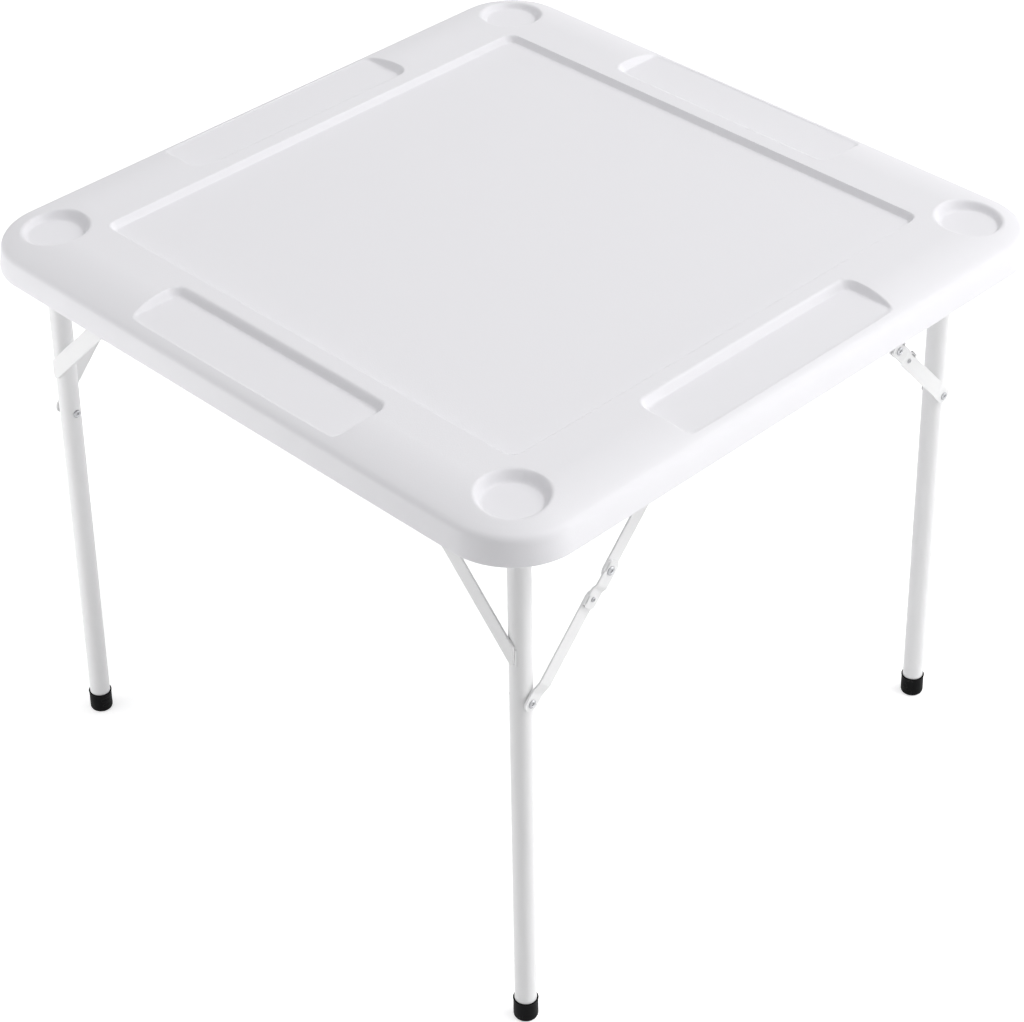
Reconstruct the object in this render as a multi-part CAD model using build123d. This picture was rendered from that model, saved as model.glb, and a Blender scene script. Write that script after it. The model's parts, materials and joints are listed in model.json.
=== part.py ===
from build123d import *
import math
import os

# Folding card table, in millimetres, with Z up. The floor is at zero height and the middle of the
# top stands over the origin. The front leg frame is on the -Y side, the back one on the +Y side.

# The whole table
table_side = 880.0
table_height = 723.0

# Clearances
running_gap = 0.3
pin_gap = 0.05
seat_gap = 0.05
overrun = 6.0

# Moulded top: a hollow shell with a rim that hangs below its flat underside
rim_depth = 45.0
corner_radius = 85.0
wall_draft = 5.0
crown_width = 63.0
crown_drop = 13.0
crease_blend = 5.0
rim_blend = 2.0
skin = 2.5
slab_depth = 33.0
lip_width = 12.0
vent_radius = 3.0

# Recesses in the top
field_border = 118.0
field_depth = 8.0
field_spread = 5.0
field_corner = 9.0
cup_inset = 72.0
cup_floor_radius = 32.5
cup_depth = 12.0
cup_spread = 7.5
tray_reach = 85.0
tray_half_length = 164.0
tray_depth = 9.0
tray_spread = 6.3
tray_corner = 12.0

# Dimples that join the underside to the upper skin
dimple_count = 6
dimple_border = 72.0
dimple_mouth_radius = 9.0
dimple_tip_radius = 4.0
dimple_weld = 5.0

# Leg frames
tube_radius = 12.7
tube_wall = 1.2
pivot_inset = 71.6
pivot_clearance = 0.3
front_leg_inset = 64.0
back_leg_inset = 105.0
front_pad_height = 3.8
back_pad_height = 1.8
side_splay = 0.8
out_tilt = 0.63
cross_tube_past_leg = 12.5
plug_flange = 1.5
plug_spigot = 8.0

# Black feet
foot_radius = 14.25
foot_height = 28.0
foot_sole = 4.5
foot_blend = 4.5
foot_trim = 0.6

# Gusset strips between a leg and the cross tube
gusset_width = 20.5
gusset_thickness = 2.6
gusset_from_leg = 137.0
gusset_drop = 143.0
gusset_past_leg = 4.0
gusset_above_tube = 6.0
gusset_blend = 3.5

# Saddles that hold the cross tubes
saddle_from_leg = 75.0
saddle_thickness = 2.0
saddle_width = 22.0
saddle_foot = 13.0
saddle_play = 0.3
pad_margin = 3.0

# Folding braces, in layers counted outward from the leg's axis
brace_drop = 208.0
anchor_inward = 187.0
anchor_rise = 2.0
strip_width = 19.0
strip_thickness = 2.5
link_end_layer = 13.6
link_layer = 17.0
lower_link_length = 126.0
lock_plate_pitch = 35.0
link_bend_start = 12.0
link_bend_end = 24.0
plate_bend_start = 11.0
plate_bend_end = 15.5
plate_past_pivot = 11.2
plate_corner = 5.5
tab_thickness = 2.2
tab_ahead = 8.5
tab_behind = 3.0

# Rivets
leg_rivet_radius = 3.0
leg_rivet_head = 5.6
leg_rivet_stub = 0.6
elbow_rivet_radius = 2.4
elbow_rivet_head = 3.9
plate_rivet_radius = 3.4
plate_rivet_head = 6.2
rivet_head_height = 1.6
rivet_tail_height = 1.3
rivet_hollow_share = 0.6
sunk_tail_radius = 4.6
sunk_tail_depth = 1.4

# Brackets that carry the upper ends of the braces
flange_reach = 14.0
flange_thickness = 2.0
flange_width = 34.0
flange_blend = 3.0

# Screws into the underside
screw_radius = 2.0
screw_head_radius = 4.2
screw_head_height = 2.2
screw_length = 12.0
screw_slot_width = 1.0
screw_slot_depth = 0.8
boss_radius = 6.0

# Places worked out from the sizes above
corner_center = table_side / 2 - corner_radius
rim_bottom = table_height - rim_depth
underside = table_height - slab_depth
pivot_y = -(table_side / 2 - pivot_inset)
front_half_width = table_side / 2 - front_leg_inset
back_half_width = table_side / 2 - back_leg_inset
field_half = table_side / 2 - field_border
cup_offset = table_side / 2 - cup_inset
tray_inner_edge = table_side / 2 - tray_reach
dimple_pitch = 2 * (field_half - dimple_border) / (dimple_count - 1)
plate_layer = link_layer + strip_thickness + running_gap
ear_layer = plate_layer + strip_thickness + running_gap
upper_layer = plate_layer
saddle_inner_radius = tube_radius + saddle_play
saddle_outer_radius = saddle_inner_radius + saddle_thickness
splay = math.radians(side_splay)
tilt = math.radians(out_tilt)


def section_of_rim(inset):
    # The rim seen end on, X counted outward from the corner's centre.
    flat_end = corner_radius - wall_draft - crown_width
    crown_radius = (crown_width**2 + crown_drop**2) / (2 * crown_drop)
    arc_radius = crown_radius - inset
    arc_center = Vector(flat_end, 0, table_height - crown_radius)
    full_turn = math.asin((crown_width - inset) / arc_radius)

    def on_crown(turn):
        return arc_center + Vector(math.sin(turn), 0, math.cos(turn)) * arc_radius

    top_start = Vector(0, 0, table_height - inset)
    wall_foot = Vector(corner_radius - inset, 0, rim_bottom + inset)
    lip_foot = Vector(corner_radius - lip_width + inset, 0, rim_bottom + inset)
    lip_top = Vector(lip_foot.X, 0, underside + inset)
    under_start = Vector(0, 0, underside + inset)
    crown = ThreePointArc(on_crown(0), on_crown(full_turn / 2), on_crown(full_turn))
    corners = [on_crown(full_turn), wall_foot, lip_foot, lip_top, under_start, top_start, on_crown(0)]
    lines = [Line(start, end) for start, end in zip(corners, corners[1:])]
    face = Face(Wire([crown] + lines))
    if inset == 0:
        face = blend_corner(face, on_crown(full_turn), crease_blend)
        face = blend_corner(face, wall_foot, rim_blend)
        face = blend_corner(face, lip_foot, rim_blend)
    return face


def blend_corner(face, place, radius):
    nearest = min(face.vertices(), key=lambda vertex: (Vector(vertex) - place).length)
    return face.fillet_2d(radius, [nearest])


def rounded_slab(inset):
    # The section is drawn out along each side and turned round each corner.
    section = section_of_rim(inset)
    side = extrude(Pos(corner_center, -corner_center, 0) * section, amount=2 * corner_center, dir=(0, 1, 0))
    corner_axis = Axis((corner_center, corner_center, 0), (0, 0, 1))
    corner = revolve(Pos(corner_center, corner_center, 0) * section, axis=corner_axis, revolution_arc=90)
    middle = Box(2 * corner_center, 2 * corner_center, slab_depth - 2 * inset)
    slab = Pos(0, 0, table_height - slab_depth / 2) * middle
    for turn in range(4):
        slab += Rot(Z=90 * turn) * side
        slab += Rot(Z=90 * turn) * corner
    return slab


def drafted_cut(plan, depth, spread, grown):
    # A recess with a flat floor whose walls lean outward on the way up.
    lean = math.degrees(math.atan(spread / depth))
    floor = table_height - depth - grown
    return Pos(0, 0, floor) * extrude(plan, amount=depth + grown + overrun, taper=-lean)


def field_cut(grown):
    side = 2 * (field_half + grown)
    return drafted_cut(RectangleRounded(side, side, field_corner + grown), field_depth, field_spread, grown)


def cup_cut(grown):
    plan = Circle(cup_floor_radius + grown)
    return Pos(cup_offset, -cup_offset, 0) * drafted_cut(plan, cup_depth, cup_spread, grown)


def tray_cut(grown):
    # The tray has no outer wall: its floor runs out over the crown of the rim.
    reach = table_side / 2 + corner_radius / 2 - tray_inner_edge
    plan = RectangleRounded(reach + 2 * grown, 2 * (tray_half_length + grown), tray_corner + grown)
    middle = tray_inner_edge + reach / 2
    return Pos(middle, 0, 0) * drafted_cut(plan, tray_depth, tray_spread, grown)


def recess_cuts(grown):
    cuts = [field_cut(grown)]
    for turn in range(4):
        cuts.append(Rot(Z=90 * turn) * cup_cut(grown))
        cuts.append(Rot(Z=90 * turn) * tray_cut(grown))
    return cuts


def dimple_places():
    first = -dimple_pitch * (dimple_count - 1) / 2
    steps = [first + dimple_pitch * count for count in range(dimple_count)]
    return [(x, y) for x in steps for y in steps]


def dimple_cuts(grown):
    height = slab_depth - field_depth - dimple_weld + grown
    cone = Cone(dimple_mouth_radius + grown, dimple_tip_radius + grown, height)
    return [Pos(x, y, underside + height / 2) * cone for x, y in dimple_places()]


def upward_pin(place, radius, length):
    x, y, z = place
    return Pos(x, y, z + length / 2) * Cylinder(radius, length)


def table_top():
    body = rounded_slab(0)
    body -= recess_cuts(0)
    body -= dimple_cuts(0)
    body += [seat_pad(legs, x) for legs in leg_sets() for x in saddle_xs(legs)]
    hollow = rounded_slab(skin)
    hollow -= recess_cuts(skin)
    hollow -= dimple_cuts(skin)
    boss_height = screw_length + skin
    for x, y, seat in screw_places():
        hollow -= upward_pin((x, y, underside), boss_radius, boss_height)
        body -= upward_pin((x, y, seat), screw_radius + seat_gap, screw_length + pin_gap)
    body -= hollow
    vent_y = dimple_pitch * dimple_count / 2
    body -= upward_pin((0, vent_y, underside - overrun), vent_radius, 2 * overrun)
    return body


# A leg set is drawn for the front of the table, and turned half round for the back.

class LegSet:
    def __init__(self, name, half_width, pad_height, turn):
        self.name = name
        self.half_width = half_width
        self.turn = turn
        self.seat = underside - pad_height
        self.pivot_height = self.seat - pivot_clearance - tube_radius
        self.rivet_x = half_width + brace_drop * math.tan(splay)
        self.rivet_y = pivot_y - brace_drop * math.sin(tilt)
        self.rivet_z = self.pivot_height - brace_drop * math.cos(tilt)
        self.anchor_y = pivot_y + anchor_inward
        self.anchor_z = self.pivot_height + anchor_rise
        self.brace_length = math.hypot(self.anchor_y - self.rivet_y, self.anchor_z - self.rivet_z)
        self.elbow_at = lower_link_length
        self.plate_pivot_at = lower_link_length + lock_plate_pitch

    def side_name(self, side):
        return "right" if side * (1 if self.turn == 0 else -1) > 0 else "left"

    def turned(self, part):
        return Rot(Z=self.turn) * part

    def on_frame(self, part):
        return self.turned(Pos(0, pivot_y, self.pivot_height) * Rot(X=-out_tilt) * part)

    def on_leg(self, part, side):
        return self.on_frame(Pos(side * self.half_width, 0, 0) * Rot(Y=-side * side_splay) * part)

    def on_brace(self, part, side):
        # X runs from the leg up the brace, Z is the layer outward from the leg's axis.
        along = (0, self.anchor_y - self.rivet_y, self.anchor_z - self.rivet_z)
        place = Plane((self.rivet_x, self.rivet_y, self.rivet_z), x_dir=along, z_dir=(1, 0, 0))
        placed = place.location * part
        if side < 0:
            placed = mirror(placed, about=Plane.YZ)
        return self.turned(placed)

    def leg_length(self):
        return self.pivot_height / (math.cos(splay) * math.cos(tilt))


def leg_sets():
    front = LegSet("front", front_half_width, front_pad_height, 0)
    back = LegSet("back", back_half_width, back_pad_height, 180)
    return [front, back]


def saddle_xs(legs):
    return [side * (legs.half_width - saddle_from_leg) for side in (-1, 1)]


def seat_pad(legs, x):
    # A raised pad on the underside sets how high the cross tube sits.
    height = underside - legs.seat
    length = 2 * (saddle_outer_radius + saddle_foot + pad_margin)
    pad = Box(saddle_width + 2 * pad_margin, length, height)
    return legs.turned(Pos(x, pivot_y, underside - height / 2) * pad)


def saddle_screw_places(legs):
    screw_offset = saddle_outer_radius + saddle_foot / 2
    return [(x, pivot_y + way * screw_offset, legs.seat) for x in saddle_xs(legs) for way in (-1, 1)]


def bracket_screw_places(legs):
    x = legs.rivet_x + ear_layer + (strip_thickness + flange_reach) / 2
    spread = (flange_width - strip_width) / 2 + screw_radius
    ways = [(side, way) for side in (-1, 1) for way in (-1, 1)]
    return [(side * x, legs.anchor_y + way * spread, underside) for side, way in ways]


def turned_places(legs, places):
    sign = 1 if legs.turn == 0 else -1
    return [(sign * x, sign * y, z) for x, y, z in places]


def screw_places():
    places = []
    for legs in leg_sets():
        places += turned_places(legs, saddle_screw_places(legs) + bracket_screw_places(legs))
    return places


def round_bar(radius, start, end):
    # A bar along Z between two heights.
    return Pos(0, 0, (start + end) / 2) * Cylinder(radius, end - start)


def tube_along_z(start, end):
    return round_bar(tube_radius, start, end) - round_bar(tube_radius - tube_wall, start - overrun, end + overrun)


def cross_tube(legs):
    half = legs.half_width + cross_tube_past_leg
    return legs.on_frame(Rot(Y=90) * tube_along_z(-half, half))


def cross_plugs(legs):
    end = legs.half_width + cross_tube_past_leg
    plug = round_bar(tube_radius, end, end + plug_flange)
    plug += round_bar(tube_radius - tube_wall - seat_gap, end - plug_spigot, end)
    return [legs.on_frame(Rot(Y=side * 90) * plug) for side in (-1, 1)]


def leg(legs, side):
    # The top is cut to sit on the cross tube, and the side is drilled for the brace rivet.
    tube = tube_along_z(-legs.leg_length() + foot_sole, 0)
    cross = Rot(Y=side * side_splay) * Rot(Y=90) * round_bar(tube_radius, -2 * tube_radius, 2 * tube_radius)
    tube -= cross
    placed = legs.on_leg(tube, side)
    drill = round_bar(leg_rivet_radius + seat_gap, -2 * tube_radius, 2 * tube_radius)
    return placed - legs.on_brace(drill, side)


def foot(legs, side):
    bottom = -legs.leg_length() - foot_trim
    top = -legs.leg_length() + foot_height
    body = round_bar(foot_radius, bottom, top)
    body = fillet(body.edges().sort_by(Axis.Z)[0], foot_blend)
    body -= round_bar(tube_radius + seat_gap, -legs.leg_length() + foot_sole, top + overrun)
    floor = Box(table_side + 2 * overrun, table_side + 2 * overrun, overrun)
    return legs.on_leg(body, side) - Pos(0, 0, -overrun / 2) * floor


def gusset(legs, side):
    # A flat strip on the outer face of the frame, trimmed by the leg and by the cross tube.
    leg_x = legs.half_width + gusset_drop * math.tan(splay)
    top_x = legs.half_width - gusset_from_leg
    slope = math.degrees(math.atan2(gusset_drop, leg_x - top_x))
    length = math.hypot(leg_x - top_x, gusset_drop) + 4 * gusset_width
    strip = Pos((leg_x + top_x) / 2, -gusset_drop / 2) * Rot(Z=-slope) * Rectangle(length, gusset_width)
    right = leg_x + gusset_past_leg
    width = gusset_from_leg + 4 * gusset_width
    height = gusset_drop + 4 * gusset_width
    window = Pos(right - width / 2, gusset_above_tube - height / 2) * Rectangle(width, height)
    plan = strip & window
    plan = fillet(plan.vertices(), gusset_blend)
    plate = extrude(Plane.XZ * plan, amount=gusset_thickness)
    plate = Pos(0, -tube_radius - seat_gap, 0) * plate
    if side < 0:
        plate = mirror(plate, about=Plane.YZ)
    return legs.on_frame(plate)


def saddle(legs, x):
    # A strap under the cross tube with a foot on each side, screwed to the underside.
    rise = legs.seat - legs.pivot_height
    half = saddle_outer_radius + saddle_foot
    outer = Circle(saddle_outer_radius) + Pos(0, rise / 2) * Rectangle(2 * saddle_outer_radius, rise)
    outer += Pos(0, rise - saddle_thickness / 2) * Rectangle(2 * half, saddle_thickness)
    inner = Circle(saddle_inner_radius) + Pos(0, rise) * Rectangle(2 * saddle_inner_radius, 2 * rise)
    below_seat = Pos(0, rise - half) * Rectangle(2 * half, 2 * half)
    strap = extrude(Plane.YZ * ((outer - inner) & below_seat), amount=saddle_width / 2, both=True)
    placed = legs.turned(Pos(x, pivot_y, legs.pivot_height) * strap)
    return placed - holes_for_screws(turned_places(legs, saddle_screw_places(legs)))


def holes_for_screws(places):
    hole = screw_radius + seat_gap
    return [upward_pin((x, y, seat - overrun), hole, 2 * overrun) for x, y, seat in places]


def screws(places, plate_thickness):
    # Pan heads with a slot, their threads up in the moulded bosses.
    group = []
    for x, y, seat in places:
        head_top = seat - plate_thickness
        head = upward_pin((x, y, head_top - screw_head_height), screw_head_radius, screw_head_height)
        head = fillet(head.edges().sort_by(Axis.Z)[0], screw_head_height / 2)
        slot = Box(2 * screw_head_radius, screw_slot_width, 2 * screw_slot_depth)
        head -= Pos(x, y, head_top - screw_head_height) * slot
        group.append(head + upward_pin((x, y, head_top), screw_radius, screw_length - plate_thickness))
    return group


def bent_strip(stations, corner):
    # Stations give the inner face as distance along the strip and layer.
    start = stations[0][0]
    end = stations[-1][0]
    lower = list(stations)
    upper = [(along, layer + strip_thickness) for along, layer in reversed(stations)]
    side_view = Plane.XZ * make_face(Polyline(*lower, *upper, close=True))
    body = extrude(side_view, amount=strip_width / 2, both=True)
    plan = RectangleRounded(end - start, strip_width, corner)
    return body & Pos((start + end) / 2, 0, 0) * extrude(plan, amount=2 * ear_layer)


def lower_link(legs):
    half = strip_width / 2
    stations = [(-half, link_end_layer), (link_bend_start, link_end_layer)]
    stations += [(link_bend_end, link_layer), (legs.elbow_at + half, link_layer)]
    strip = bent_strip(stations, half - seat_gap)
    strip -= hole_across(0, leg_rivet_radius)
    return strip - hole_across(legs.elbow_at, elbow_rivet_radius)


def upper_link(legs):
    half = strip_width / 2
    stations = [(legs.plate_pivot_at - half, upper_layer), (legs.brace_length + half, upper_layer)]
    strip = bent_strip(stations, half - seat_gap)
    strip -= hole_across(legs.plate_pivot_at, plate_rivet_radius)
    strip -= hole_across(legs.brace_length, leg_rivet_radius)
    return strip - sunk_tail(legs, pin_gap)


def lock_plate(legs):
    # The short plate between the links. Its two tabs rest on their edges when the brace is straight.
    first = legs.elbow_at
    second = legs.plate_pivot_at
    stations = [(first - plate_past_pivot, plate_layer), (first + plate_bend_start, plate_layer)]
    stations += [(first + plate_bend_end, ear_layer), (second + plate_past_pivot, ear_layer)]
    plate = bent_strip(stations, plate_corner)
    plate += stop_tab(first - tab_ahead, first + tab_behind, link_layer, plate_layer)
    plate += stop_tab(second - tab_behind, second + tab_ahead, upper_layer, ear_layer)
    plate -= hole_across(first, elbow_rivet_radius)
    return plate - hole_across(second, plate_rivet_radius)


def stop_tab(start, end, inner_layer, plate_at):
    edge = strip_width / 2
    outer = edge + running_gap + tab_thickness
    root = edge - tab_thickness
    bridge = Box(end - start, outer - root, strip_thickness)
    bridge = Pos((start + end) / 2, (outer + root) / 2, plate_at + strip_thickness / 2) * bridge
    depth = plate_at + strip_thickness - inner_layer
    wall = Box(end - start, tab_thickness, depth)
    return bridge + Pos((start + end) / 2, outer - tab_thickness / 2, inner_layer + depth / 2) * wall


def hole_across(along, radius):
    return Pos(along, 0, 0) * round_bar(radius + pin_gap, 0, 2 * ear_layer)


def rivet(along, radius, head_radius, start, end):
    # The shank fills both plates. Its head is outside, its smaller tail inside.
    body = round_bar(radius, start, end)
    body += round_bar(head_radius, end, end + rivet_head_height)
    body += round_bar(head_radius, start - rivet_tail_height, start)
    hollow = round_bar(radius * rivet_hollow_share, end, end + overrun)
    return Pos(along, 0, 0) * (body - hollow)


def elbow_rivet(legs):
    end = plate_layer + strip_thickness
    return rivet(legs.elbow_at, elbow_rivet_radius, elbow_rivet_head, link_layer, end)


def plate_rivet(legs):
    end = ear_layer + strip_thickness
    return rivet(legs.plate_pivot_at, plate_rivet_radius, plate_rivet_head, upper_layer, end)


def sunk_tail(legs, grown):
    # The tail is flush with the upper link, because the lower link folds past it.
    cone = Cone(sunk_tail_radius + grown, leg_rivet_radius + grown, sunk_tail_depth)
    return Pos(legs.brace_length, 0, upper_layer + sunk_tail_depth / 2) * cone


def anchor_rivet(legs):
    end = ear_layer + strip_thickness
    body = round_bar(leg_rivet_radius, upper_layer, end)
    body += round_bar(leg_rivet_head, end, end + rivet_head_height)
    hollow = round_bar(leg_rivet_radius * rivet_hollow_share, end, end + overrun)
    return Pos(legs.brace_length, 0, 0) * (body - hollow) + sunk_tail(legs, 0)


def leg_rivet(legs):
    # It goes through the tube. The brace's own head meets its outer end.
    inner_face = -tube_radius - leg_rivet_head * math.tan(splay) - seat_gap
    body = round_bar(leg_rivet_radius, inner_face, tube_radius + leg_rivet_stub)
    body += round_bar(leg_rivet_head, inner_face - rivet_head_height, inner_face)
    hollow = round_bar(leg_rivet_radius * rivet_hollow_share, inner_face - overrun, inner_face)
    return body - hollow


def brace_rivet_head(legs):
    outer_face = link_end_layer + strip_thickness
    body = round_bar(leg_rivet_radius, link_end_layer, outer_face)
    body += round_bar(leg_rivet_head, outer_face, outer_face + rivet_head_height)
    hollow = round_bar(leg_rivet_radius * rivet_hollow_share, outer_face, outer_face + overrun)
    return body - hollow


def brace_bracket(legs, side):
    # An ear beside the upper link, and a flange that lies on the underside.
    ear_rise = underside - legs.anchor_z
    half = strip_width / 2
    ear = Circle(half) + Pos(0, ear_rise / 2) * Rectangle(strip_width, ear_rise)
    ear -= Circle(leg_rivet_radius + pin_gap)
    bracket = extrude(Plane.YZ * ear, amount=strip_thickness)
    reach = strip_thickness + flange_reach
    plan = Rectangle(reach, flange_width)
    plan = fillet(plan.vertices().group_by(Axis.X)[-1], flange_blend)
    flange = extrude(plan, amount=-flange_thickness)
    bracket += Pos(reach / 2, 0, ear_rise) * flange
    bracket = Pos(legs.rivet_x + ear_layer, legs.anchor_y, legs.anchor_z) * bracket
    if side < 0:
        bracket = mirror(bracket, about=Plane.YZ)
    return legs.turned(bracket) - holes_for_screws(turned_places(legs, bracket_screw_places(legs)))


def write_node(name, shape):
    solids = shape if isinstance(shape, list) else [shape]
    group = [solid for item in solids for solid in item.solids()]
    node = group[0] if len(group) == 1 else Compound(children=group)
    node.label = name
    export_step(node, f"parts/{name}.step")


def write_leg_set(legs):
    write_node(f"cross_tube_{legs.name}", cross_tube(legs))
    write_node(f"cross_tube_plugs_{legs.name}", cross_plugs(legs))
    write_node(f"leg_rivets_{legs.name}", [legs.on_brace(leg_rivet(legs), side) for side in (-1, 1)])
    for side in (-1, 1):
        place = f"{legs.name}_{legs.side_name(side)}"
        write_node(f"leg_{place}", leg(legs, side))
        write_node(f"foot_{place}", foot(legs, side))
        write_node(f"gusset_{place}", gusset(legs, side))
        write_node(f"saddle_{place}", saddle(legs, side * (legs.half_width - saddle_from_leg)))
        write_node(f"brace_bracket_{place}", brace_bracket(legs, side))
        write_node(f"brace_lower_{place}", legs.on_brace(lower_link(legs), side))
        write_node(f"brace_upper_{place}", legs.on_brace(upper_link(legs), side))
        write_node(f"lock_plate_{place}", legs.on_brace(lock_plate(legs), side))
        write_node(f"elbow_rivet_{place}", legs.on_brace(elbow_rivet(legs), side))
        write_node(f"plate_rivet_{place}", legs.on_brace(plate_rivet(legs), side))
        write_node(f"brace_rivet_head_{place}", legs.on_brace(brace_rivet_head(legs), side))


def write_table():
    os.makedirs("parts", exist_ok=True)
    write_node("table_top", table_top())
    saddle_screws = []
    bracket_screws = []
    anchor_rivets = []
    for legs in leg_sets():
        write_leg_set(legs)
        saddle_screws += screws(turned_places(legs, saddle_screw_places(legs)), saddle_thickness)
        bracket_screws += screws(turned_places(legs, bracket_screw_places(legs)), flange_thickness)
        anchor_rivets += [legs.on_brace(anchor_rivet(legs), side) for side in (-1, 1)]
    write_node("saddle_screws", saddle_screws)
    write_node("bracket_screws", bracket_screws)
    write_node("bracket_rivets", anchor_rivets)


write_table()
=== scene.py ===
import json
import math

import bmesh
import bpy
import numpy as np
from mathutils import Matrix, Vector


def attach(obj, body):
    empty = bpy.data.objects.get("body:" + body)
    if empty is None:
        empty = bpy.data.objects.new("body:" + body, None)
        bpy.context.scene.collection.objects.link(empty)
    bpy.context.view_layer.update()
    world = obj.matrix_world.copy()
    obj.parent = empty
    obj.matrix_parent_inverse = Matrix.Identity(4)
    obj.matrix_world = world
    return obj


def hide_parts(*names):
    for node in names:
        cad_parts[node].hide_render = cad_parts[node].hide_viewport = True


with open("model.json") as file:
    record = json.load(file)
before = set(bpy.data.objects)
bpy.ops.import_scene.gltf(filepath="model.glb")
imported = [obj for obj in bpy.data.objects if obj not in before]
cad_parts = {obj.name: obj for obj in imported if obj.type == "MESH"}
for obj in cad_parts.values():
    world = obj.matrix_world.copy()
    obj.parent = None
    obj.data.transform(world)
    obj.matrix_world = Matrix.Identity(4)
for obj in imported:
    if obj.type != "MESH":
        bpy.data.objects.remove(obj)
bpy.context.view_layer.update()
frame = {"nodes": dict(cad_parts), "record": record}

mm = 0.001
tiny = 1e-9  # keeps a division clear of zero

# The moulded top. Sizes are those of the solid it stands for, in millimetres.
topShape = {
    "side": 880.0,
    "height": 723.0,
    "rimDepth": 45.0,
    "cornerRadius": 85.0,
    "wallDraft": 5.0,
    "crownWidth": 63.0,
    "crownDrop": 13.0,
    "creaseBlend": 12.0,
    "rimBlend": 2.5,
    "slabDepth": 33.0,
    "lipWidth": 12.0,
    "lipBlend": 2.0,
    "underBand": 20.0,
    "blendSteps": 7,
}
recessShape = {
    "fieldHalf": 322.0,
    "fieldDepth": 8.0,
    "fieldSpread": 5.0,
    "fieldCorner": 9.0,
    "cupOffset": 368.0,
    "cupFloorRadius": 32.5,
    "cupDepth": 12.0,
    "cupSpread": 7.5,
    "trayInnerEdge": 355.0,
    "trayHalfLength": 164.0,
    "trayDepth": 9.0,
    "traySpread": 6.3,
    "trayCorner": 11.0,
    "trayOuterEdge": 422.0,
    "fieldRounding": 0.2,
    "fieldSoftSides": 1.4,
    "softSideWidth": 20.0,
    "cupRounding": 2.8,
    "trayRounding": 2.6,
    "trayWallBlend": 4.0,
    "edgeRounding": 0.6,
    "floorRounding": 0.8,
}
underShape = {
    "dimpleOffsets": (50.0, 150.0, 250.0),
    "dimpleMouth": 9.0,
    "dimpleTip": 4.0,
    "dimpleHeight": 20.0,
    "pads": ((301.0, -368.4, 3.8), (260.0, 368.4, 1.8)),  # place and depth of the front and back seats
    "padHalf": (14.0, 31.0),
    "rounding": 1.2,
    "padSlope": 2.5,
}
# Grid lines of the top and the underside, from the middle outward: the end of a stretch and its step.
topLines = {
    "above": (
        (158, 31.6), (163.4, 2.7), (164, 0.6), (169.9, 1.2), (170.5, 0.3), (173, 1.25), (313, 28),
        (321.6, 1.8), (322.2, 0.3), (326.7, 1.5), (327.3, 0.15), (328.5, 0.6), (346, 1.95), (354.4, 1.4),
        (355.6, 0.6), (357, 1.4), (409, 1.68), (421.4, 2.5), (422, 0.6), (422.4, 0.4),
    ),
    "below": (
        (36, 12), (64, 2.0), (136, 18), (164, 2.0), (236, 18), (264, 2.0), (284, 8), (320, 3.2), (330, 5),
        (342, 3.0), (392, 9), (404, 3),
    ),
    "lastSteps": (0.3, 4),
    "snap": 0.75,
    "underSnap": 0.95,
}
flipped = [0, 3, 2, 1]  # the order that turns a quad over and keeps its first point


def softMin(a, b, width):
    # The lower of two heights, with the corner between them rounded over the width.
    mix = np.clip(0.5 + 0.5 * (b - a) / width, 0, 1)
    return b * (1 - mix) + a * mix - width * mix * (1 - mix)


def softMax(a, b, width):
    return -softMin(-a, -b, width)


def spacedLines(stops):
    # Each stop is the end of a stretch and the step used up to it.
    lines = [0.0]
    for end, step in stops:
        count = max(1, round((end - lines[-1]) / step))
        lines += list(np.linspace(lines[-1], end, count + 1)[1:])
    return np.array(lines)


def filledUp(lines, count):
    # The widest gap is halved until there are as many lines as asked for.
    while len(lines) < count:
        widest = int(np.argmax(np.diff(lines)))
        lines = np.insert(lines, widest + 1, (lines[widest] + lines[widest + 1]) / 2)
    return lines


def mirroredLines(half):
    return np.concatenate([-half[:0:-1], half])


def cornerCenter():
    return topShape["side"] / 2 - topShape["cornerRadius"]


def bentPlan(lines):
    # A square grid whose rings outside the corner centres follow round corners: the step past the
    # inner square is turned through 45 degrees times the share of its shorter part.
    a, b = np.meshgrid(lines, lines, indexing="ij")
    center = cornerCenter()
    baseA = np.clip(a, -center, center)
    baseB = np.clip(b, -center, center)
    s = np.abs(a - baseA)
    t = np.abs(b - baseB)
    ring = np.maximum(s, t)
    turn = np.pi / 4 * np.minimum(s, t) / np.maximum(ring, tiny)
    longer = np.cos(turn) * ring
    shorter = np.sin(turn) * ring
    x = baseA + np.sign(a) * np.where(s >= t, longer, shorter)
    y = baseB + np.sign(b) * np.where(s >= t, shorter, longer)
    return x, y, ring


def crownHeight(ring):
    # Level in the middle, then an arc that starts level and drops to the crease.
    s = topShape
    flatEnd = s["cornerRadius"] - s["wallDraft"] - s["crownWidth"]
    radius = (s["crownWidth"] ** 2 + s["crownDrop"] ** 2) / (2 * s["crownDrop"])
    run = np.clip(ring - flatEnd, 0, s["crownWidth"])
    return s["height"] - radius + np.sqrt(radius**2 - run**2)


def roundedBoxGap(px, py, halfX, halfY, corner):
    # Distance outside a rectangle with round corners, negative inside.
    qx = np.abs(px) - halfX + corner
    qy = np.abs(py) - halfY + corner
    outside = np.hypot(np.maximum(qx, 0), np.maximum(qy, 0))
    return outside + np.minimum(np.maximum(qx, qy), 0) - corner


def recess(gap, depth, spread):
    # A flat floor, then a wall that rises by the depth over the spread.
    floor = topShape["height"] - depth
    wall = floor + gap * depth / spread
    return softMax(np.full_like(gap, floor), wall, recessShape["floorRounding"])


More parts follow.
